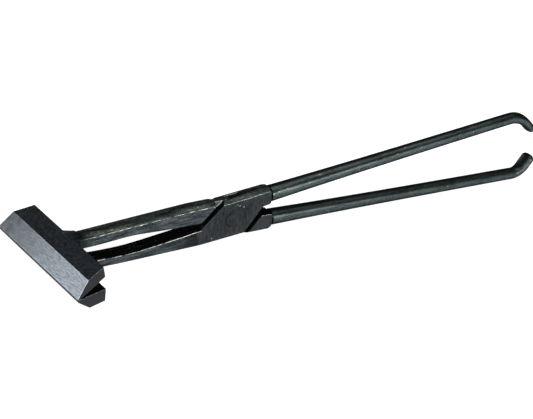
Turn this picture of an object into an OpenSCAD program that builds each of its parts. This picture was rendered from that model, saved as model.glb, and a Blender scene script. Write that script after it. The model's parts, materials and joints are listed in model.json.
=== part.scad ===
// Seaming pliers: two forged halves, each with a wide jaw and an arm, crossing in a box
// joint on one rivet, and two round handles set into the bosses behind the joint.
// Drawn with the pivot at the origin: X runs from the jaws (-) to the handles (+), Z is
// up in the plane the pliers open in and Y runs along the rivet. place() then stands the
// pliers level on the lower jaw's outer face and the lower handle's bend.

/* [Jaws] */
// Width of the gripping lips, mm
jaw_w = 100; // [60:1:120]
// Distance from the pivot to the lips, mm
jaw_reach = 143.5; // [131:0.1:156]
// Depth of a jaw from its lip to the back of its outer face, mm
jaw_d = 22.8; // [20:0.1:26]
// Tilt of the closed mouth above the pivot line, degrees
jaw_tilt = 7; // [5:0.1:9]
// Drop of the lips below the pivot line, mm
lip_drop = 0.95; // [0:0.05:2]
// Slant of the jaws' ends, degrees
end_slant = 17.1; // [0:0.1:25]
// Depth of the bevel behind the lip, mm
bevel_d = 9.4; // [7:0.1:12]
// Height of the upper jaw at the top of its bevel, mm
up_bevel_h = 9.9; // [8:0.1:12]
// Height of the upper jaw at its back, mm
up_back_h = 12.3; // [10.5:0.1:14]
// Height of the lower jaw at the edge of its bevel, mm
low_bevel_h = 10.5; // [9:0.1:12]
// Height of the blunt nose of the upper lip, mm
up_nose_h = 0.9; // [0.4:0.1:2]
// Height of the blunt nose of the lower lip, mm
low_nose_h = 1.3; // [0.4:0.1:2]
// Depth of the flat land on which the lips meet, mm
land_d = 1.2; // [0.5:0.1:3]
// Gap left between the closed lips, mm
lip_gap = 0.1; // [0.02:0.01:0.4]
// Depth of the relieved gripping face, mm
grip_d = 23.9; // [23.2:0.1:26.5]
// Height of the relief at the back of the gripping face, mm
grip_h = 4.5; // [2:0.1:6]

/* [Arms] */
// Thickness of both halves between their ground faces, mm
thick = 12; // [11:0.1:14]
// Radius of the crowned outer edges, mm
crown_r = 10.9; // [8:0.1:20]
// Radius of the fillets where an arm meets its jaw, mm
root_r = 7; // [1:0.1:8]
// Radius of the flatter crown on the upper arm's root, mm
root_crown_r = 25; // [15:0.5:40]
// Fall of the upper arm's root away from its jaw, degrees
root_fall = 8; // [4:0.5:12]
// Height of the upper arm's edge above the pivot at its highest, mm
up_edge_z = 13.1; // [12:0.05:14]
// Depth of the lower arm's edge below the pivot at its lowest, mm
low_edge_z = 14; // [13:0.05:15]
// Inner edge of the upper arm at its jaw, mm above the pivot
up_in_root = 5.8; // [5:0.1:7]
// Inner edge of the upper arm a sixth of the way along, mm above the pivot
up_in_neck = 5.4; // [4:0.1:6.5]
// Inner edge of the upper arm before its middle, mm above the pivot
up_in_mid = 6.05; // [4:0.05:7]
// Inner edge of the upper arm towards the joint, mm above the pivot
up_in_waist = 4; // [3.5:0.1:6]
// Inner edge of the upper arm at its shoulder, mm above the pivot
up_in_end = 2.6; // [2:0.1:4]
// Inner edge of the lower arm at its jaw, mm below the pivot
low_in_root = 3.1; // [2.6:0.1:4.5]
// Inner edge of the lower arm a sixth of the way along, mm below the pivot
low_in_neck = 6; // [4:0.1:7]
// Inner edge of the lower arm before its middle, mm below the pivot
low_in_mid = 7.1; // [5:0.1:8.5]
// Inner edge of the lower arm towards the joint, mm below the pivot
low_in_waist = 5.5; // [4:0.1:7]
// Inner edge of the lower arm at the cheek, mm below the pivot
low_in_end = 3.2; // [2:0.1:4]
// Rise of the lower arm's underside above the jaw's resting face, mm
arm_relief = 0.05; // [0.05:0.05:1]

/* [Box joint] */
// Thickness of the tongue, mm
tongue_t = 4.4; // [3.5:0.1:5]
// Clearance between the tongue and each cheek, mm
side_clear = 0.05; // [0.02:0.01:0.2]
// Distance of the tongue's flanks from the pivot, mm
tongue_r = 9.5; // [8.5:0.1:10]
// Direction of the tongue's flank normal, degrees above the pivot line
flank_angle = 48.5; // [46:0.5:52]
// Opening angle at which the tongue meets the ends of the slot, degrees
slot_open = 42; // [30:1:44]
// Clearance between the tongue and the slot's end walls, mm
end_clear = 0.4; // [0.2:0.05:0.8]
// Diameter of the rivet's shank, mm
shank_d = 8; // [6:0.1:8.6]
// Diameter of the rivet's flush heads, mm
head_d = 9.9; // [9:0.1:11]
// Depth of the rivet's conical heads, mm
head_t = 1.6; // [1:0.1:2.2]
// Radial running clearance of the tongue on the rivet, mm
pivot_clear = 0.05; // [0.02:0.01:0.1]
// Radial clearance of fixed pieces in their seats, mm
seat_clear = 0.01; // [0.005:0.005:0.03]

/* [Bosses] */
// Distance from the pivot to the end of the upper boss, mm
up_boss_x = 31.3; // [30:0.1:35]
// Distance from the pivot to the end of the lower boss, mm
low_boss_x = 34.1; // [33:0.1:38]
// Thickness of the bosses at their ends, mm
boss_t = 11.1; // [10.4:0.1:12]
// Radius of the rim at the end of each boss, mm
rim_r = 6.8; // [6:0.1:7.4]

/* [Handles] */
// Height of a handle's axis line where it passes the pivot, mm
axis_z = 7; // [6.5:0.01:7.5]
// Splay of each handle from the pivot line, degrees
splay = 3.81; // [3:0.01:5]
// Diameter of a handle at its boss, mm
rod_root_d = 11.5; // [10.6:0.1:11.8]
// Diameter of a handle just before its bend, mm
rod_end_d = 8.4; // [7:0.1:9]
// Length over which the handles lose most of their taper, mm
taper_len = 88; // [50:1:150]
// Diameter of the spigot that seats a handle in its boss, mm
spigot_d = 6.4; // [4:0.1:7]
// Length of the spigot, mm
spigot_l = 9; // [5:0.1:10]
// Depth of the neck turned beside a handle's shoulder, mm
neck_d = 0.6; // [0.2:0.1:1]
// Width of the neck turned beside a handle's shoulder, mm
neck_w = 0.6; // [0.2:0.1:1.5]
// Length of the straight part of the upper handle, mm
up_rod_l = 214.3; // [150:0.5:260]
// Length of the straight part of the lower handle, mm
low_rod_l = 223.8; // [190:0.5:260]
// Bend radius of the upper handle's end, mm
up_bend_r = 23; // [14:0.5:30]
// Bend radius of the lower handle's end, mm
low_bend_r = 12; // [9:0.5:20]
// Bend angle of the upper handle's end, degrees
up_bend = 47.8; // [30:0.1:70]
// Bend angle of the lower handle's end, degrees
low_bend = 55.8; // [30:0.1:75]
// Length of the upper handle beyond its bend, mm
up_tip_l = 9.7; // [6:0.1:20]
// Length of the lower handle beyond its bend, mm
low_tip_l = 10; // [6:0.1:20]
// Thickness of the flattened handle tips in the opening plane, mm
tip_h = 6.6; // [5:0.1:8]
// Width of the flattened handle tips, mm
tip_w = 10.7; // [8:0.1:13]

/* [Hidden] */

far = 20; // reach of outlines that a crown or an end cut trims back
lap = 6; // depth by which an arm runs into its jaw before the two are joined
facets = 96; // facets round a full circle
half_t = thick / 2;
function rise_of(r) = r - sqrt(pow(r, 2) - pow(half_t, 2));

// Jaw sections, each point [depth from the lip, height from the mouth]
up_jaw = [
    [0, lip_gap / 2],
    [0, up_nose_h],
    [bevel_d, up_bevel_h],
    [jaw_d, up_back_h],
    [grip_d, grip_h],
    [land_d, lip_gap / 2]
];

// A point of a jaw section, seen from the pivot
function from_lip(p) = [
    p.x * cos(jaw_tilt) - p.y * sin(jaw_tilt) - jaw_reach,
    p.x * sin(jaw_tilt) + p.y * cos(jaw_tilt) - lip_drop
];

// Line the pliers stand on: from the lower jaw's front edge to the lower handle's bend
stand_edge = from_lip([bevel_d, -low_bevel_h]);
bend_start = [
    low_boss_x + low_rod_l * cos(splay),
    -axis_z - low_boss_x * tan(splay) - low_rod_l * sin(splay)
];
bend_centre = bend_start + low_bend_r * [sin(splay), cos(splay)];
stand_span = bend_centre - stand_edge;
stand_angle = asin((low_bend_r + rod_end_d / 2) / norm(stand_span)) - atan2(stand_span.y, stand_span.x);
low_back_h = low_bevel_h + (jaw_d - bevel_d) * tan(jaw_tilt + stand_angle);

low_jaw = [
    [0, -lip_gap / 2],
    [0, -low_nose_h],
    [bevel_d, -low_bevel_h],
    [jaw_d, -low_back_h],
    [grip_d, -grip_h],
    [land_d, -lip_gap / 2]
];

// Corners that the arms, the cheeks and the bosses are drawn from, [along, up]
up_grip = from_lip(up_jaw[4]);
up_back = from_lip(up_jaw[3]);
low_grip = from_lip(low_jaw[4]);
low_back = from_lip(low_jaw[3]);
shoulder_low = [-24.3, up_in_end];
shoulder_top = [-14.4, 12.4];
shoulder_r = 2.5; // rounding of the upper arm's lower corner at the joint
cheek_low = [-23.4, -1.5];
cheek_top = [-8.1, 11.7];
heel_top = [24.3, 3.3];
heel_low = [11.5, -12];
boss_under = 4.1; // underside of the upper boss
root_step = 0.35; // step down from the jaw's back edge to the arm's root
spur_top = [24.7, -3.2];
spur_low = [15.6, -12.9];
spur_end = -4.5; // top of the lower boss at its end

// Crown lines of the outer edges: a point of the edge and its slope in degrees
up_front_edge = [[-31.4, up_edge_z], 1];
up_rear_edge = [[-31.4, up_edge_z], -1.9];
box_top_edge = [[-6.8, 12], 2.9];
low_front_edge = [[-24.4, low_edge_z], 1.5];
low_rear_edge = [[-24.4, low_edge_z], -2.07];
spur_edge = [[15.6, 13.6], 3];
root_edge = [up_back - [0, root_step], -root_fall];

// Tongue: flanks through two necks beside the rivet
neck_z = 4;
function on_flank(z) = (tongue_r - z * sin(flank_angle)) / cos(flank_angle);
neck = [on_flank(neck_z), neck_z];
tongue_root = [spur_top.x + 0.9, spur_top.y - 1.2];

// Slot: the flank turned through the opening, and the flank where it is now
wall_angle = flank_angle - slot_open;
wall_r = tongue_r + end_clear;
function meet(a1, r1, a2, r2) = [
    (r1 * sin(a2) - r2 * sin(a1)) / sin(a2 - a1),
    (r2 * cos(a1) - r1 * cos(a2)) / sin(a2 - a1)
];
slot_corner = meet(wall_angle, wall_r, flank_angle, wall_r);
slot_top = [(wall_r - far * sin(wall_angle)) / cos(wall_angle), far];
neck_clear = neck + end_clear * [cos(flank_angle), sin(flank_angle)];
wall_run = [6, -2.7]; // from the tongue's root out through the lower boss's side
root_clear = tongue_root + end_clear * [0.5, 1] + wall_run;

// Smooth curve through four points, t from 0 to 1 between the middle two
function bow(a, b, c, d, t) =
    b + t * (c - a) / 2
    + pow(t, 2) * (2 * a - 5 * b + 4 * c - d) / 2
    + pow(t, 3) * (3 * b - a - 3 * c + d) / 2;
function along(p, q, f) = p + (q - p) * f;
station = [0, 0.17, 0.44, 0.72, 1];
bow_steps = 6;

corner_steps = 5;

// Corner b between a and c, rounded by an arc of radius r
function rounded(a, b, c, r) =
    let (u = (a - b) / norm(a - b), v = (c - b) / norm(c - b),
         half = acos(u * v) / 2, m = (u + v) / norm(u + v),
         centre = b + m * r / sin(half),
         start = atan2((b + u * r / tan(half) - centre).y, (b + u * r / tan(half) - centre).x),
         end = atan2((b + v * r / tan(half) - centre).y, (b + v * r / tan(half) - centre).x),
         turn = end - start - 360 * round((end - start) / 360))
    [for (i = [0:corner_steps])
        let (t = start + turn * i / corner_steps)
        centre + r * [cos(t), sin(t)]];

// Inner edge of an arm, from its jaw at x0 to the joint at x1, through five heights
function inner_edge(x0, x1, h) =
    let (p = [for (i = [0:4]) [along(x0, x1, station[i]), h[i]]],
         q = concat([2 * p[0] - p[1]], p, [2 * p[4] - p[3]]))
    [for (i = [0:3], k = [0:bow_steps - 1])
        bow(q[i], q[i + 1], q[i + 2], q[i + 3], k / bow_steps)];

up_inner = inner_edge(up_grip.x, shoulder_low.x,
    [up_in_root, up_in_neck, up_in_mid, up_in_waist, up_in_end]);
low_inner = inner_edge(low_grip.x, cheek_low.x - 0.5,
    [-low_in_root, -low_in_neck, -low_in_mid, -low_in_waist, -low_in_end]);

// Handle radius at a distance s from the boss
function rod_r(s) = rod_end_d / 2 + (rod_root_d - rod_end_d) / 2 * exp(-s / taper_len);
rod_steps = 18;
spigot_edge = 0.35; // chamfer round the end of a spigot

// Bent end of a handle: a flattened section swept along an arc and a straight tip
ring_points = 28;
tip_round = 3.4; // length over which a tip is rounded off
lead = 2; // length of the sweep inside the straight part
end_step = 0.04; // step down in radius from the straight part to the sweep
function ease(t) = let (u = min(max(t, 0), 1)) u * u * (3 - 2 * u);
function bent(u, r, bend) = min(max(u / r, 0), bend * PI / 180) * 180 / PI;
function sweep_centre(u, r, bend) =
    let (b = bent(u, r, bend), rest = u - b * PI / 180 * r)
    [r * (1 - cos(b)) + rest * sin(b), r * sin(b) + rest * cos(b)];
function sweep_end(r, bend, tip) = r * bend * PI / 180 + tip;
function round_off(u, end) = sqrt(max(1 - pow(max(u - end + tip_round, 0) / tip_round, 2), 0.02));
function flat_at(u, r, bend) = ease(u / (r * bend * PI / 180) - 0.08);
function half_h(u, r, bend, end, r0) =
    along(r0, tip_h / 2, flat_at(u, r, bend)) * round_off(u, end);
function half_w(u, r, bend, end, r0) =
    along(r0, tip_w / 2, flat_at(u, r, bend)) * (0.35 + 0.65 * round_off(u, end));
function squared(c, e) = sign(c) * pow(abs(c), 2 / e);
function sweep_stops(r, bend, tip) =
    let (end = sweep_end(r, bend, tip))
    concat([for (i = [0:20]) along(-lead, end - tip_round, i / 20)],
        [for (i = [1:8]) end - tip_round * cos(i * 90 / 8)]);
function ring(u, r, bend, tip, r0) =
    let (end = sweep_end(r, bend, tip), c = sweep_centre(u, r, bend), b = bent(u, r, bend),
         h = half_h(u, r, bend, end, r0), w = half_w(u, r, bend, end, r0),
         e = 2 + 0.5 * flat_at(u, r, bend))
    [for (k = [0:ring_points - 1])
        let (n = h * squared(cos(k * 360 / ring_points), e),
             y = w * squared(sin(k * 360 / ring_points), e))
        [c.x + n * cos(b), y, c.y - n * sin(b)]];

// Where a handle's axis leaves its boss, for the upper handle
function axis_at(x) = [x, axis_z + x * tan(splay)];

// Placing: level on the standing line, base at zero, middle of the length at zero
function levelled_x(p) = p.x * cos(stand_angle) - p.y * sin(stand_angle);
front_x = min([for (p = up_jaw) levelled_x(from_lip(p))]);
low_tip_x = [for (u = sweep_stops(low_bend_r, low_bend, low_tip_l))
    let (c = sweep_centre(u, low_bend_r, low_bend), b = bent(u, low_bend_r, low_bend),
         end = sweep_end(low_bend_r, low_bend, low_tip_l),
         n = half_h(u, low_bend_r, low_bend, end, rod_end_d / 2),
         q = [c.x - n * cos(b), c.y + n * sin(b)])
    levelled_x(bend_start + q.x * [sin(splay), cos(splay)] + q.y * [cos(splay), -sin(splay)])];
middle_x = (front_x + max(low_tip_x)) / 2;
lift_z = -(stand_edge.x * sin(stand_angle) + stand_edge.y * cos(stand_angle));

module place() {
    translate([-middle_x, 0, lift_z])
        rotate([0, -stand_angle, 0])
            children();
}

// An outline drawn in the opening plane, made into a plate about the middle
module plate(t) {
    rotate([90, 0, 0])
        linear_extrude(height = t, center = true)
            children();
}

// Everything below a crowned edge that passes through a point at a slope
module below_crown(edge, r = crown_r) {
    translate([edge[0].x, 0, edge[0].y])
        rotate([0, -edge[1], 0])
            rotate([90, 0, 90])
                linear_extrude(height = 4 * jaw_reach, center = true)
                    translate([0, rise_of(r) - r])
                        union() {
                            circle(r = r, $fn = facets);
                            translate([-r, -3 * r])
                                square([2 * r, 3 * r]);
                        }
}

// Everything above a crowned lower edge, its depth given as a positive number
module above_crown(edge) {
    mirror([0, 0, 1])
        below_crown(edge);
}

// A jaw bar: its section across the full width, its ends slanted inwards to the back
module jaw_bar(section) {
    back = jaw_w / 2 - grip_d * tan(end_slant);
    translate([-jaw_reach, 0, -lip_drop])
        rotate([0, -jaw_tilt, 0])
            intersection() {
                plate(jaw_w)
                    polygon(section);
                linear_extrude(height = 2 * far, center = true)
                    polygon([
                        [0, -jaw_w / 2],
                        [grip_d, -back],
                        [grip_d, back],
                        [0, jaw_w / 2]
                    ]);
            }
}

// Fillets on both sides of an arm, lying along the back face of its jaw
module root_fillets(p, q) {
    lean = atan((q.x - p.x) / (q.y - p.y));
    translate([p.x, 0, p.y])
        rotate([0, lean, 0])
            linear_extrude(height = 3 * far, center = true)
                difference() {
                    translate([-lap, -half_t - root_r])
                        square([lap + root_r, 2 * (half_t + root_r)]);
                    for (s = [-1, 1])
                        translate([root_r, s * (half_t + root_r)])
                            circle(r = root_r, $fn = facets);
                }
}

// Tapered end of a boss: its rim is turned about the handle's axis
module boss_limit(x) {
    turned = 6;
    slope = 0.45;
    base = axis_at(x);
    union() {
        translate([-2 * jaw_reach, -far, -2 * far])
            cube([2 * jaw_reach + x - 0.8 * turned, 2 * far, 4 * far]);
        translate([base.x, 0, base.y])
            rotate([0, 90 - splay, 0])
                translate([0, 0, -turned])
                    cylinder(h = turned, r1 = rim_r + slope * turned, r2 = rim_r, $fn = facets);
    }
}

// Plan of the joint: parallel ground faces that taper a little towards the boss
module joint_plan(x) {
    taper_x = 12.6;
    linear_extrude(height = 4 * far, center = true)
        polygon([
            [-jaw_reach, -half_t],
            [taper_x, -half_t],
            [x + 1, -boss_t / 2],
            [x + 1, boss_t / 2],
            [taper_x, half_t],
            [-jaw_reach, half_t]
        ]);
}

// Blind hole for a handle's spigot, for the upper boss
module spigot_hole(x) {
    base = axis_at(x);
    spare = 0.3;
    translate([base.x, 0, base.y])
        rotate([0, 90 - splay, 0])
            translate([0, 0, -spigot_l - spare])
                cylinder(h = spigot_l + spare + 1, d = spigot_d + 2 * seat_clear, $fn = facets);
}

// An arm: its outline between the ground faces, and a wider root against its jaw
module upper_arm() {
    union() {
        intersection() {
            upper_arm_plate();
            joint_plan(up_boss_x);
            below_crown(up_front_edge);
            below_crown(up_rear_edge);
        }
        intersection() {
            upper_arm_plate();
            root_fillets(up_grip, up_back);
            below_crown(root_edge, root_crown_r);
        }
    }
}

module upper_arm_plate() {
    plate(3 * thick)
        polygon(concat(
            [[up_back.x - lap / 2, far], [up_grip.x - lap / 2, up_in_root + 1]],
            up_inner,
            rounded(up_inner[len(up_inner) - 1], shoulder_low, shoulder_top, shoulder_r),
            [shoulder_top, [shoulder_top.x + 6, far]]
        ));
}

module lower_arm() {
    union() {
        intersection() {
            lower_arm_plate();
            joint_plan(up_boss_x);
            above_crown(low_front_edge);
            above_crown(low_rear_edge);
            above_stand(arm_relief);
        }
        intersection() {
            lower_arm_plate();
            root_fillets(low_grip, low_back);
            above_stand(arm_relief);
        }
    }
}

module lower_arm_plate() {
    end_x = cheek_low.x - 0.5;
    plate(3 * thick)
        polygon(concat(
            [[low_back.x - lap / 2, -far], [low_grip.x - lap / 2, -low_in_root]],
            low_inner,
            [[end_x, -low_in_end], cheek_low, [cheek_low.x + 2, -far]]
        ));
}

// Everything higher than the line the pliers stand on
module above_stand(rise) {
    translate([stand_edge.x, 0, stand_edge.y])
        rotate([0, stand_angle, 0])
            translate([-jaw_reach, -2 * far, rise])
                cube([4 * jaw_reach, 4 * far, 4 * far]);
}

// Cheeks and upper boss in one block, before the slot is cut through it
module box_block() {
    lean = (cheek_top.x - cheek_low.x) / (cheek_top.y - cheek_low.y);
    heel = (heel_top.x - heel_low.x) / (heel_top.y - heel_low.y);
    intersection() {
        plate(3 * thick)
            polygon([
                [cheek_low.x, -far],
                cheek_low,
                [cheek_low.x + lean * (far - cheek_low.y), far],
                [up_boss_x + 2, far],
                [up_boss_x + 2, boss_under + 0.3],
                [heel_top.x + 1.3, boss_under - 0.3],
                heel_top,
                [heel_low.x - heel * (far + heel_low.y), -far]
            ]);
        joint_plan(up_boss_x);
        boss_limit(up_boss_x);
        below_crown(box_top_edge);
        above_crown(low_front_edge);
        above_crown(low_rear_edge);
        above_stand(arm_relief);
    }
}

// Room for the tongue, from closed to fully open
module slot() {
    half = [slot_top, slot_corner, neck_clear, root_clear, [root_clear.x, -far]];
    plate(tongue_t + 2 * side_clear)
        polygon(concat(half, [for (p = half) -p]));
}

module box_half() {
    color("DimGray")
        place()
            difference() {
                union() {
                    jaw_bar(low_jaw);
                    lower_arm();
                    box_block();
                }
                slot();
                spigot_hole(up_boss_x);
                rotate([90, 0, 0]) {
                    cylinder(h = 2 * thick, d = shank_d + 2 * seat_clear, center = true, $fn = facets);
                    for (s = [0, 1])
                        mirror([0, 0, s])
                            translate([0, 0, half_t - head_t])
                                cylinder(h = head_t, d1 = shank_d + 2 * seat_clear,
                                    d2 = head_d + 2 * seat_clear, $fn = facets);
                }
            }
}

// Lower boss, drawn mirrored so that it shares the upper boss's modules
module spur() {
    lean = (spur_top.x - spur_low.x) / (spur_top.y - spur_low.y);
    intersection() {
        plate(3 * thick)
            polygon([
                [spur_low.x - lean * (far + spur_low.y), far],
                [spur_top.x, -spur_top.y],
                [low_boss_x + 2, -spur_end],
                [low_boss_x + 2, far]
            ]);
        joint_plan(low_boss_x);
        boss_limit(low_boss_x);
        below_crown(spur_edge);
    }
}

module tongue() {
    half = [
        [on_flank(far), far],
        neck,
        tongue_root,
        [tongue_root.x, spur_low.y]
    ];
    intersection() {
        plate(tongue_t)
            polygon(concat(half, [[tongue_root.x - 4, -far]], [for (p = half) -p], [[-tongue_root.x + 4, far]]));
        below_crown(up_rear_edge);
        above_crown(spur_edge);
    }
}

module tongue_half() {
    color("SlateGray")
        place()
            difference() {
                union() {
                    jaw_bar(up_jaw);
                    upper_arm();
                    tongue();
                    mirror([0, 0, 1])
                        spur();
                }
                mirror([0, 0, 1])
                    spigot_hole(low_boss_x);
                rotate([90, 0, 0])
                    cylinder(h = thick, d = shank_d + 2 * pivot_clear, center = true, $fn = facets);
            }
}

module rivet() {
    color("Silver")
        place()
            rotate([90, 0, 0])
                union() {
                    cylinder(h = thick - head_t, d = shank_d, center = true, $fn = facets);
                    for (s = [0, 1])
                        mirror([0, 0, s])
                            translate([0, 0, half_t - head_t])
                                cylinder(h = head_t, d1 = shank_d, d2 = head_d, $fn = facets);
                }
}

// A handle along Z, its shoulder at zero, its end bent towards +X
module handle(l, r, bend, tip) {
    union() {
        rotate_extrude($fn = facets)
            polygon(concat(
                [
                    [0, -spigot_l],
                    [spigot_d / 2 - spigot_edge, -spigot_l],
                    [spigot_d / 2, -spigot_l + spigot_edge],
                    [spigot_d / 2, 0],
                    [rod_r(0) - neck_d, 0],
                    [rod_r(0) - neck_d, neck_w]
                ],
                [for (i = [0:rod_steps]) let (s = max(l * i / rod_steps, neck_w + neck_d)) [rod_r(s), s]],
                [[0, l]]
            ));
        translate([0, 0, l])
            bent_end(r, bend, tip, rod_r(l) - end_step);
    }
}

module bent_end(r, bend, tip, r0) {
    stops = sweep_stops(r, bend, tip);
    n = len(stops);
    m = ring_points;
    sides = [for (i = [0:n - 2], k = [0:m - 1])
        let (a = i * m + k, b = i * m + (k + 1) % m)
        each [[a, a + m, b], [b, a + m, b + m]]];
    polyhedron(
        points = [for (u = stops) each ring(u, r, bend, tip, r0)],
        faces = concat([[for (k = [0:m - 1]) k]], sides, [[for (k = [m - 1:-1:0]) (n - 1) * m + k]]),
        convexity = 6
    );
}

module seat_handle(x) {
    base = axis_at(x);
    translate([base.x, 0, base.y])
        rotate([0, 90 - splay, 0])
            children();
}

module upper_handle() {
    color("DarkOliveGreen")
        place()
            seat_handle(up_boss_x)
                handle(up_rod_l, up_bend_r, up_bend, up_tip_l);
}

module lower_handle() {
    color("DarkSlateGray")
        place()
            mirror([0, 0, 1])
                seat_handle(low_boss_x)
                    handle(low_rod_l, low_bend_r, low_bend, low_tip_l);
}

box_half();
tongue_half();
rivet();
upper_handle();
lower_handle();
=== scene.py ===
"""Seaming pliers: the looks of the forged, ground and blackened steel, and the studio they stand in."""
import json
import math

import bpy
from mathutils import Matrix, Vector

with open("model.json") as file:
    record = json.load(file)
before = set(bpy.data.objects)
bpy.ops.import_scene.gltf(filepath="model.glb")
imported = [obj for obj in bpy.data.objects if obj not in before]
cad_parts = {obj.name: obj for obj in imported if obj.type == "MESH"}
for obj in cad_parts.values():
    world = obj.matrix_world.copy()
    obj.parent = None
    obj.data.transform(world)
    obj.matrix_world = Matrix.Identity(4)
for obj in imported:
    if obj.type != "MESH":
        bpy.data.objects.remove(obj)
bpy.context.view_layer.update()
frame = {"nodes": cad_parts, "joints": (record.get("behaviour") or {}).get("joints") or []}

MM = 1000.0  # in a metre

# The pliers' own frame: the pivot is its origin, and the standing line tilts it
PIVOT = Vector(frame["joints"][0]["pos_m"])
STAND_TILT = math.radians(2.659)

# Places on the pliers, in mm from the pivot
RIVET_RIM = 4.95  # radius of the rivet's head
UPPER_BOSS_X = 31.3  # the bosses end at these two
LOWER_BOSS_X = 34.1
JAW_BACK_X = -119.0  # the jaws end here
ROOT_ENDS_X = -106.0  # the jaws' black reaches this far up the arm
CHEEK_X = -26.0  # the arms end here
TONGUE_SIDE_X = 5.0  # the tongue's side ends here, and the lower boss begins
BOSS_CROWN_X = -10.0  # the crowns of the upper arm and of the box meet here

# Camera, fitted to the photograph's edges, in metres in the row's frame
CAMERA_AT = Vector((-0.7972, -0.9272, 0.6240))
CAMERA_AIM = Vector((-0.0332, 0.0, 0.0147))
CAMERA_ROLL = math.radians(9.227)
CAMERA_LENS = 135.01  # in mm, on a sensor this wide
SENSOR = 36.0
NEAR_CLIP, FAR_CLIP = 0.05, 20.0

# The sweep's own colour, and the glow that makes it white to the eye
PAPER = 0.7
GLOW = 0.75

# How a belt or a hammer drew the steel: grain runs long where a number is small
UPRIGHT = (1.0, 1.0, 0.08)
ACROSS = (1.0, 0.12, 1.0)
FINE_ACROSS = (2.2, 0.28, 2.2)
ALONG_ARM = (0.10, 1.0, 1.0)
ALONG_ROD = (0.25, 1.0, 1.0)


# Shader maths


class Signal:
    """A socket that can be added, multiplied and shaped with plain operators."""

    def __init__(self, tree, socket):
        self.tree = tree
        self.socket = socket

    def _math(self, operation, *others):
        node = self.tree.new("ShaderNodeMath", operation=operation)
        for i, value in enumerate((self, *others)):
            self.tree.feed(node.inputs[i], value)
        return Signal(self.tree, node.outputs[0])

    def __add__(self, other):
        return self._math("ADD", other)

    __radd__ = __add__

    def __mul__(self, other):
        return self._math("MULTIPLY", other)

    __rmul__ = __mul__

    def __sub__(self, other):
        return self._math("SUBTRACT", other)

    def __rsub__(self, other):
        return (self * -1.0) + other

    def __truediv__(self, other):
        return self._math("DIVIDE", other)

    def abs(self):
        return self._math("ABSOLUTE")

    def power(self, exponent):
        return self._math("POWER", exponent)

    def least(self, other):
        return self._math("MINIMUM", other)

    def most(self, other):
        return self._math("MAXIMUM", other)

    def ramp(self, low, high, to_low=0.0, to_high=1.0):
        """Smoothly from to_low to to_high as the signal goes from low to high."""
        node = self.tree.new("ShaderNodeMapRange", interpolation_type="SMOOTHSTEP")
        for i, value in enumerate((self, low, high, to_low, to_high)):
            self.tree.feed(node.inputs[i], value)
        return Signal(self.tree, node.outputs[0])


class Tree:
    """One material's node tree, with a line for each thing a finish is made of."""

    def __init__(self, name):
        self.material = bpy.data.materials.new(name)
        self.material.use_nodes = True
        self.nodes = self.material.node_tree.nodes
        self.links = self.material.node_tree.links
        self.nodes.clear()
        self.output = self.new("ShaderNodeOutputMaterial")

    def new(self, kind, inputs=None, **settings):
        node = self.nodes.new(kind)
        for key, value in settings.items():
            setattr(node, key, value)
        for key, value in (inputs or {}).items():
            self.feed(node.inputs[key], value)
        return node

    def feed(self, socket, value):
        if isinstance(value, Signal):
            value = value.socket
        if isinstance(value, bpy.types.NodeSocket):
            self.links.new(value, socket)
        else:
            socket.default_value = value

    def point(self, turn=(0.0, 0.0, 0.0), at=(0.0, 0.0, 0.0)):
        """Object coordinates in millimetres from a point, turned about it."""
        coords = self.new("ShaderNodeTexCoord").outputs["Object"]
        moved = self.new("ShaderNodeVectorMath", {0: coords, 1: tuple(-v for v in at)}, operation="ADD")
        turned = self.new(
            "ShaderNodeVectorRotate",
            {"Vector": moved.outputs[0], "Rotation": turn},
            rotation_type="EULER_XYZ",
        )
        in_mm = self.new("ShaderNodeVectorMath", {0: turned.outputs[0], 1: (MM,) * 3}, operation="MULTIPLY")
        return in_mm.outputs[0]

    def noise(self, point, scale, detail=4.0, roughness=0.55, distortion=0.0):
        node = self.new(
            "ShaderNodeTexNoise",
            {
                "Vector": point,
                "Scale": scale,
                "Detail": detail,
                "Roughness": roughness,
                "Distortion": distortion,
            },
        )
        return Signal(self, node.outputs["Fac"])

    def xyz(self, point):
        node = self.new("ShaderNodeSeparateXYZ", {0: point})
        return [Signal(self, node.outputs[i]) for i in range(3)]

    def blend(self, factor, a, b):
        node = self.new("ShaderNodeMix", data_type="RGBA")
        self.feed(node.inputs["Factor"], factor)
        colour_a, colour_b = [s for s in node.inputs if s.type == "RGBA"]
        for socket, value in ((colour_a, a), (colour_b, b)):
            self.feed(socket, (*value, 1.0) if isinstance(value, tuple) else value)
        return [s for s in node.outputs if s.type == "RGBA"][0]

    def surface(self, **inputs):
        shader = self.new("ShaderNodeBsdfPrincipled")
        for name, value in inputs.items():
            self.feed(shader.inputs[name.replace("_", " ")], value)
        self.feed(self.output.inputs["Surface"], shader.outputs[0])
        return self.material


PLAIN = (0.0, 0.0, 0.0)


def grey(level, tint=PLAIN):
    """A linear colour: a level of grey, with each channel a share more or less."""
    return tuple(level * (1.0 + t) for t in tint)


# Tints of the steel
BLUE = (-0.12, 0.0, 0.12)  # freshly ground
INK = (-0.22, 0.0, 0.26)  # the deepest blacking, on the jaws
STEEL = (-0.18, 0.02, 0.12)  # blackened over ground steel
OLIVE = (-0.15, 0.07, -0.02)  # forging scale
ROD_SCALE = (-0.16, 0.04, 0.06)  # thin scale on the handles
STRAW = (0.12, 0.04, -0.30)  # bare chips and rubbed spots
WARM = (0.03, 0.01, -0.06)  # edges rubbed by hand
BRASSY = (0.05, 0.02, -0.12)  # nicks on the cheek

# Tints of the shine at a slant: as it is for ground steel, and dark for blacking and scale
CLEAR_RIM = (1.0, 1.0, 1.0, 1.0)
DARK_RIM = (0.12, 0.12, 0.12, 1.0)


# Finishes


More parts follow.
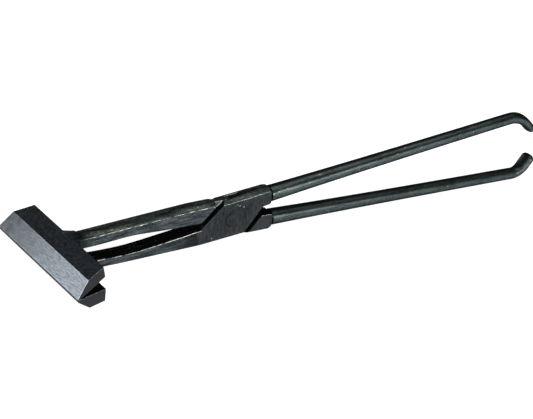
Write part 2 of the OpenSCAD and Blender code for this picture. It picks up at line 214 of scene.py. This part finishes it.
class Finish(Tree):
    """A steel surface, with what every face of the pliers shares: soft and rubbed edges."""

    def __init__(self, name, edge_round=0.45):
        super().__init__(name)
        self.flat = self.point()
        self.along = self.point(turn=(0.0, STAND_TILT, 0.0), at=tuple(PIVOT))
        self.soft = self.new("ShaderNodeBevel", {"Radius": edge_round / MM}, samples=6).outputs[0]

    def stretched(self, x, y, z):
        """Coordinates for grain that runs long where a number is small."""
        node = self.new("ShaderNodeVectorMath", {0: self.along, 1: (x, y, z)}, operation="MULTIPLY")
        return node.outputs[0]

    def edges(self):
        """1 on an edge of the steel, falling to 0 where its rounding ends."""
        true = self.new("ShaderNodeNewGeometry").outputs["True Normal"]
        both = self.new("ShaderNodeVectorMath", {0: true, 1: self.soft}, operation="DOT_PRODUCT")
        return (1.0 - Signal(self, both.outputs["Value"])).ramp(0.0, 0.05)

    def facing(self):
        """Which way the steel faces, in the object's own frame."""
        own = self.new(
            "ShaderNodeVectorTransform",
            {0: self.soft},
            vector_type="NORMAL",
            convert_from="WORLD",
            convert_to="OBJECT",
        )
        return self.xyz(own.outputs[0])

    def ridges(self):
        """The edges that run along the top of the pliers, where hands and work rub them."""
        x, _, z = self.facing()
        return self.edges() * (z - x.abs()).ramp(0.02, 0.25)

    def corner_shade(self, reach):
        """1 in a joint or inner corner, falling to 0 at a reach in mm from it: where shade is painted in."""
        outer = self.new("ShaderNodeAmbientOcclusion", {"Distance": reach / MM}, samples=8)
        return (1.0 - Signal(self, outer.outputs["AO"])).ramp(0.1, 0.9)

    def patch(self, x, z, wide, high):
        """1 in the middle of an oval on the side of the pliers, falling to 0 at its rim, in mm."""
        along, _, up = self.xyz(self.along)
        off = ((along - x) / wide).power(2.0) + ((up - z) / high).power(2.0)
        return off.ramp(1.0, 0.3)

    def nicks(self, places, size=0.5):
        """Bright nicks through the blacking at a few places, each as high as a size in mm."""
        marks = [self.patch(x, z, size * long, size) for x, z, long in places]
        return sum(marks[1:], marks[0]) * self.noise(self.flat, 1.5, detail=2.0).ramp(0.3, 0.5)

    def relief(self, height, distance, strength):
        """The soft-edged steel with bumps as deep as a distance in mm."""
        return self.new(
            "ShaderNodeBump",
            {"Height": height, "Distance": distance / MM, "Strength": strength, "Normal": self.soft},
        ).outputs["Normal"]


def ground_face(
    name,
    level,
    tint,
    grain,
    shine=0.35,
    rough=0.42,
    gloss=0.3,
    contrast=0.5,
    shares=(0.4, 0.35, 0.25),
    rub=0.5,
    edge_level=0.30,
    all_edges=False,
    extra=None,
    edge_round=0.45,
    rim=CLEAR_RIM,
):
    """A face dressed on a grinding belt: fine lines along the grain, and rubbed edges.

    The shares say how much of its unevenness is lines, mottling and broad clouds.
    """
    steel = Finish(name, edge_round)
    lines = steel.noise(steel.stretched(*grain), 0.9, detail=6.0, roughness=0.75)
    mottle = steel.noise(steel.flat, 0.45, detail=4.0, roughness=0.7)
    cloud = steel.noise(steel.flat, 0.06, detail=2.0)
    shade = (
        lines.ramp(0.36, 0.64) * shares[0]
        + mottle.ramp(0.36, 0.64) * shares[1]
        + cloud.ramp(0.35, 0.65) * shares[2]
    )
    darker, lighter = grey(level * (1.0 - contrast), tint), grey(level * (1.0 + contrast), tint)
    face = steel.blend(shade, darker, lighter)
    # painted shade: the face darkens in joints and inner corners
    face = steel.blend(steel.corner_shade(3.0) * 0.75, face, grey(level * 0.12, tint))
    break_up = steel.noise(steel.flat, 0.4, detail=4.0, roughness=0.7).ramp(0.20, 0.55)
    worn = (steel.edges() if all_edges else steel.ridges()) * break_up * rub
    if extra:
        face, worn = extra(steel, face, worn)
    return steel.surface(
        Base_Color=steel.blend(worn, face, grey(edge_level, BLUE if all_edges else PLAIN)),
        Metallic=shine,
        Specular_Tint=rim,
        Specular_IOR_Level=gloss,
        Roughness=rough + (lines - 0.5) * 0.3 + (mottle - 0.5) * 0.3,
        Normal=steel.relief(lines * 0.6 + mottle * 0.4, 0.05, 0.8),
    )


# Marks through the blacking: x and z in mm from the pivot, and how much longer than high
SHOULDER_NICKS = [(-10.8 + 0.8 * i, 10.5 + 0.6 * i, 1.4) for i in range(5)]
# Where painted light lifts the shoulder's flat out of its shadow
SHOULDER_LIT_FLAT = (-9.9, 12.2, 2.8, 2.4)  # the middle of it, and half its width and height
CHEEK_NICKS = ((3.6, 10.0, 1.0), (8.8, 7.3, 1.6), (-15.2, -11.1, 0.9), (5.4, 8.8, 1.8))


def rivet_seam_and_shade(steel, face, worn):
    """The dark seam round the rivet's flush head, with painted shade making it darker on its left, and no
    rubbed edge beside it.
    """
    along, _, up = steel.xyz(steel.along)
    reach = (along.power(2.0) + up.power(2.0)).power(0.5)
    # painted shade: the seam line is darkened most on its left side
    seam_shade = (reach - RIVET_RIM).abs().ramp(0.75, 0.35) * along.ramp(2.0, -1.0, 0.15, 1.0)
    nicks = steel.nicks(CHEEK_NICKS)
    face = steel.blend(nicks, steel.blend(seam_shade, face, grey(0.0)), grey(0.26, BRASSY))
    return face, worn * reach.ramp(RIVET_RIM + 1.0, RIVET_RIM + 2.0)


def bevel_far_end_darker(steel, face, worn):
    """Blotches that darken the far end of the bevel, with no rubbed edges there."""
    _, across, _ = steel.xyz(steel.along)
    blotch = steel.noise(steel.flat, 0.22, detail=3.0).ramp(0.35, 0.65, 0.75, 1.0)
    left = across.ramp(-34.0, 50.0) * blotch
    return steel.blend(left, face, grey(0.12, BLUE)), worn * left.ramp(1.0, 0.4)


def shoulder_flat_lit(steel, skin):
    """The flat by the top of the gap: ground steel, painted lighter to lift it out of the shoulder's shadow,
    with straw nicks worn to bare steel where the box slides past it.
    """
    # painted light: a lighter grey patch on the flat, which lies in the shoulder's shadow
    skin = steel.blend(steel.patch(*SHOULDER_LIT_FLAT), skin, grey(0.10, STEEL))
    return steel.blend(steel.nicks(SHOULDER_NICKS, 0.45), skin, grey(0.70, STRAW))


def forged_face(
    name,
    level,
    tint,
    shine=0.45,
    rough=0.4,
    gloss=0.4,
    rub=1.0,
    specks=0.5,
    edge_level=0.8,
    root=False,
    joint_dark=0.0,
    extra=None,
):
    """The skin left by the forge: dark scale drawn out along the arm, pitted and rubbed through."""
    steel = Finish(name)
    streaks = steel.noise(steel.stretched(*ALONG_ARM), 0.5, detail=5.0, roughness=0.65, distortion=0.3)
    flakes = steel.noise(steel.flat, 0.5, detail=5.0, roughness=0.7)
    pits = steel.noise(steel.flat, 1.2, detail=4.0, roughness=0.7)
    shade = streaks.ramp(0.40, 0.62) * 0.7 + flakes.ramp(0.40, 0.64) * 0.3
    skin = steel.blend(shade, grey(level * 0.25, tint), grey(level * 2.1, tint))
    # painted shade: the skin darkens in joints and inner corners
    skin = steel.blend(steel.corner_shade(2.5) * 0.7, skin, grey(level * 0.12, tint))
    chips = flakes.ramp(0.54, 0.60) * streaks.ramp(0.52, 0.60) * specks
    skin = steel.blend(chips, skin, grey(0.30, STRAW))
    break_up = steel.noise(steel.stretched(0.35, 1.0, 1.0), 0.5, detail=4.0, roughness=0.7)
    worn = steel.ridges() * break_up.ramp(0.42, 0.56) * rub
    if joint_dark:
        place = steel.xyz(steel.along)[0]
        near = place.ramp(CHEEK_X - 30.0, CHEEK_X + 2.0)
        skin = steel.blend(near * joint_dark, skin, grey(0.006, STEEL))
        worn = (worn + near * steel.ridges()).least(1.0) * place.ramp(CHEEK_X + 1.5, CHEEK_X + 0.5)
    if root:
        black = steel.xyz(steel.along)[0].ramp(ROOT_ENDS_X, ROOT_ENDS_X - 10.0)
        skin, worn = steel.blend(black, skin, grey(0.015, STEEL)), worn * (1.0 - black)
    if extra:
        skin = extra(steel, skin)
    return steel.surface(
        Base_Color=steel.blend(worn, skin, grey(edge_level, WARM)),
        Metallic=shine,
        Specular_Tint=DARK_RIM,
        Specular_IOR_Level=gloss,
        Roughness=rough + (pits - 0.5) * 0.4 + (streaks - 0.5) * 0.3,
        Normal=steel.relief(pits * 0.5 + flakes * 0.5, 0.08, 0.7),
    )


def drawn_rod(name, root_x, level=0.042):
    """Round handle stock: olive scale, grey flecks of bare steel along its sides that also paint a highlight
    on the band facing the front lamps, and painted shade at its neck.
    """
    steel = Finish(name, edge_round=0.2)
    drawn = steel.stretched(*ALONG_ROD)
    grainy = steel.noise(drawn, 0.9, detail=5.0, roughness=0.7)
    cloud = steel.noise(drawn, 0.15, detail=4.0, roughness=0.6)
    pits = steel.noise(steel.flat, 0.8, detail=4.0, roughness=0.75)
    shade = grainy.ramp(0.35, 0.68) * 0.5 + cloud.ramp(0.35, 0.65) * 0.5
    skin = steel.blend(shade, grey(level * 0.55, OLIVE), grey(level * 1.6, ROD_SCALE))
    flecks = steel.noise(steel.stretched(0.6, 1.0, 1.0), 1.3, detail=5.0, roughness=0.75)
    upward = steel.facing()[2]
    # bare flecks and painted highlight: lighter grey on the band that faces sideways towards the front lamps
    flecks_and_highlight = upward.ramp(0.35, 0.0) * upward.ramp(-0.7, -0.2) * flecks.ramp(0.46, 0.60)
    skin = steel.blend(flecks_and_highlight, skin, grey(level * 2.6, STEEL))
    chips = steel.noise(drawn, 0.6, detail=5.0, roughness=0.7).ramp(0.65, 0.71)
    skin = steel.blend(chips, skin, grey(0.30, STRAW))
    # painted shade: the rod darkens in joints and inner corners
    skin = steel.blend(steel.corner_shade(2.0) * 0.9, skin, grey(level * 0.05, OLIVE))
    # painted shade: black where the rod meets its boss
    neck_shade = steel.xyz(steel.along)[0].ramp(root_x + 1.7, root_x + 1.0)
    skin = steel.blend(neck_shade, skin, grey(0.0))
    return steel.surface(
        Base_Color=skin,
        Metallic=0.95,
        Specular_Tint=DARK_RIM,
        Specular_IOR_Level=0.35,
        Roughness=0.36 + (pits - 0.5) * 0.5,
        Normal=steel.relief(pits * 0.7 + grainy * 0.3, 0.10, 0.8),
    )


# Studio


def camera():
    data = bpy.data.cameras.new("camera")
    data.sensor_width = SENSOR
    data.lens = CAMERA_LENS
    data.clip_start, data.clip_end = NEAR_CLIP, FAR_CLIP
    obj = bpy.data.objects.new("camera", data)
    bpy.context.scene.collection.objects.link(obj)
    ahead = (CAMERA_AIM - CAMERA_AT).normalized()
    right = ahead.cross(Vector((0.0, 0.0, 1.0))).normalized()
    up = right.cross(ahead)
    turn = Matrix((right, up, -ahead)).transposed() @ Matrix.Rotation(CAMERA_ROLL, 3, "Z")
    obj.matrix_world = Matrix.Translation(CAMERA_AT) @ turn.to_4x4()
    bpy.context.scene.camera = obj


def area_light(name, at, size, power, aim=(0.0, 0.0, 0.0)):
    """A plain white panel, its sizes in metres and its power in watts."""
    data = bpy.data.lights.new(name, "AREA")
    data.shape = "RECTANGLE"
    data.size, data.size_y = size
    data.energy = power
    obj = bpy.data.objects.new(name, data)
    bpy.context.scene.collection.objects.link(obj)
    obj.location = at
    obj.rotation_euler = (Vector(aim) - Vector(at)).to_track_quat("-Z", "Y").to_euler()


def sweep():
    """A pale floor with a low wall far around it: white, with the soft shadow of the pliers."""
    near, far, height, sides = 5.0, 6.0, 1.0, 48
    sunk = 0.0005  # so that the floor and the pliers don't share a plane
    corners, faces = [(0.0, 0.0, 0.0)], []
    for reach, level in ((near, 0.0), (far, height)):
        for i in range(sides):
            turn = 2.0 * math.pi * i / sides
            corners.append((reach * math.cos(turn), reach * math.sin(turn), level))
    for i in range(sides):
        j = (i + 1) % sides
        faces.append((0, 1 + i, 1 + j))
        faces.append((1 + i, 1 + sides + i, 1 + sides + j, 1 + j))
    mesh = bpy.data.meshes.new("sweep")
    mesh.from_pydata(corners, [], faces)
    obj = bpy.data.objects.new("sweep", mesh)
    obj.location.z = -sunk
    bpy.context.scene.collection.objects.link(obj)
    tree = Tree("white_sweep")
    paper = tree.new("ShaderNodeBsdfDiffuse", {"Color": (*grey(PAPER), 1.0)})
    glow = tree.new("ShaderNodeEmission", {"Color": (*grey(GLOW), 1.0)})
    white = tree.new("ShaderNodeAddShader", {0: paper.outputs[0], 1: glow.outputs[0]})
    path = tree.new("ShaderNodeLightPath")
    camera_ray, glossy_ray, through_ray = [
        Signal(tree, path.outputs[kind]) for kind in ("Is Camera Ray", "Is Glossy Ray", "Is Transmission Ray")
    ]
    seen = camera_ray.most(glossy_ray).most(through_ray)
    both = tree.new("ShaderNodeMixShader", {0: seen, 1: paper.outputs[0], 2: white.outputs[0]})
    tree.feed(tree.output.inputs["Surface"], both.outputs[0])
    obj.data.materials.append(tree.material)


def room(level):
    """The dim grey room above the sweep."""
    world = bpy.data.worlds.new("room")
    bpy.context.scene.world = world
    world.use_nodes = True
    world.node_tree.nodes["Background"].inputs["Color"].default_value = (*grey(level), 1.0)


# Putting it together


def dress(name, choose, finishes):
    """Give each face of a node the finish that suits where it lies and which way it faces."""
    mesh = frame["nodes"][name].data
    to_pliers = Matrix.Rotation(STAND_TILT, 3, "Y")
    order = list(dict.fromkeys(finishes.values()))
    mesh.materials.clear()
    for finish in order:
        mesh.materials.append(finish)
    for face in mesh.polygons:
        at = to_pliers @ (face.center - PIVOT) * MM
        facing = to_pliers @ face.normal
        face.material_index = order.index(finishes[choose(at, facing)])


# A face looks one way when its normal's share in that direction is above these
SQUARELY = 0.9
MOSTLY = 0.8  # the jaws' ends slant a little
TOP_RISE = 0.6
BEVEL_LEAN = 0.35
BEVEL_DROP = 0.2
CROWN_RISE = 0.1


def upper_half_face(at, facing):
    """Which finish a face of the upper jaw, its arm, the tongue or the lower boss has."""
    if at.x < JAW_BACK_X:
        if abs(facing.y) > MOSTLY:
            return "end"
        if facing.x < -SQUARELY:
            return "nose"
        if facing.x < -BEVEL_LEAN and facing.z > -BEVEL_DROP:
            return "bevel"
        return "top" if facing.z > TOP_RISE else "mouth"
    if abs(facing.y) > SQUARELY:
        return "side" if at.x < TONGUE_SIDE_X else "cheek"
    return "crown" if facing.z > 0.0 and at.x < BOSS_CROWN_X else "inside"


def lower_half_face(at, facing):
    """Which finish a face of the lower jaw, its arm, the box or the upper boss has."""
    if at.x < JAW_BACK_X:
        if abs(facing.y) > MOSTLY:
            return "end"
        return "under" if facing.z < 0.0 else "mouth"
    if abs(facing.y) > SQUARELY:
        return "side" if at.x < CHEEK_X else "cheek"
    if at.x > BOSS_CROWN_X and facing.z > CROWN_RISE:
        return "boss"
    return "inside" if facing.z > 0.0 else "under"


camera()
sweep()
room(0.05)
area_light("key", (-1.0, -1.25, 0.8), (1.5, 1.1), 13.0, aim=(-0.05, 0.0, 0.0))
area_light("strip", (0.26, -0.6, 0.13), (0.30, 0.12), 3.0, aim=(0.0, 0.0, 0.02))
area_light("overhead", (0.20, -0.12, 0.6), (0.4, 0.4), 1.5, aim=(0.0, 0.0, 0.02))
area_light("left", (-0.65, -0.5, 0.30), (0.5, 0.35), 4.4, aim=(-0.2, -0.05, 0.02))
area_light("rear", (-0.1, 1.3, 0.35), (1.2, 0.6), 4.0, aim=(0.0, 0.0, 0.0))

bpy.context.scene.view_settings.view_transform = "Standard"

bevel = ground_face(
    "jaw_bevel", 0.38, BLUE, FINE_ACROSS, shine=0.15, rough=0.55, contrast=0.52,
    shares=(0.85, 0.08, 0.07), rub=1.0, edge_level=0.9, all_edges=True, edge_round=0.8,
    extra=bevel_far_end_darker,
)
nose = ground_face("jaw_nose", 0.05, BLUE, ACROSS, rub=0.0)
black = ground_face(
    "jaw_black", 0.013, INK, ACROSS, shine=0.0, rough=0.6, gloss=0.1, contrast=0.85,
    shares=(0.2, 0.8, 0.0), rub=0.0,
)
ends = ground_face("jaw_end", 0.008, INK, UPRIGHT, gloss=0.12, rub=0.7, edge_level=0.5)
# near black, as painted shade, on the faces that look into the mouth and the slit and round the tongue and
# the lower boss
inside = ground_face(
    "inner_edge", 0.005, STEEL, ACROSS, shine=0.9, rough=0.5, gloss=0.15, rub=0.0, rim=DARK_RIM
)
cheek = ground_face(
    "cheek", 0.018, STEEL, UPRIGHT, gloss=0.12, contrast=0.95, rub=1.0, edge_level=0.6, extra=rivet_seam_and_shade
)
rivet_head = ground_face(
    "rivet_head", 0.018, STEEL, UPRIGHT, gloss=0.12, contrast=0.95, rub=0.0, extra=rivet_seam_and_shade
)
upper_arm_crown = forged_face(
    "crown", 0.050, OLIVE, shine=0.8, rough=0.42, gloss=0.25, specks=0.8, root=True
)
box_crown = forged_face(
    "boss_crown", 0.044, OLIVE, shine=0.8, gloss=0.3, specks=0.25, rub=0.6, edge_level=0.45
)
upper_arm_side = forged_face(
    "upper_arm_side", 0.042, STEEL, gloss=0.15, specks=0.15, root=True, extra=shoulder_flat_lit
)
lower_arm_side = forged_face(
    "lower_arm_side", 0.040, STEEL, gloss=0.15, specks=0.1, edge_level=0.9, joint_dark=0.8
)
# the arm's forged skin made far darker on the faces looking up into the slit: painted shade
lower_arm_inside = forged_face(
    "lower_arm_inner_edge", 0.006, STEEL, shine=0.85, rough=0.5, gloss=0.15, specks=0.15,
    edge_level=0.9, joint_dark=0.2,
)

dress("tongue_half", upper_half_face, {
    "end": ends, "bevel": bevel, "nose": nose, "top": black, "mouth": inside,
    "side": upper_arm_side, "cheek": cheek, "crown": upper_arm_crown, "inside": inside,
})
dress("box_half", lower_half_face, {
    "end": ends, "mouth": inside, "under": ends,
    "side": lower_arm_side, "cheek": cheek, "boss": box_crown, "inside": lower_arm_inside,
})
for name, finish in (
    ("rivet", rivet_head),
    ("upper_handle", drawn_rod("upper_handle", UPPER_BOSS_X)),
    ("lower_handle", drawn_rod("lower_handle", LOWER_BOSS_X)),
):
    dress(name, lambda at, facing: "all", {"all": finish})
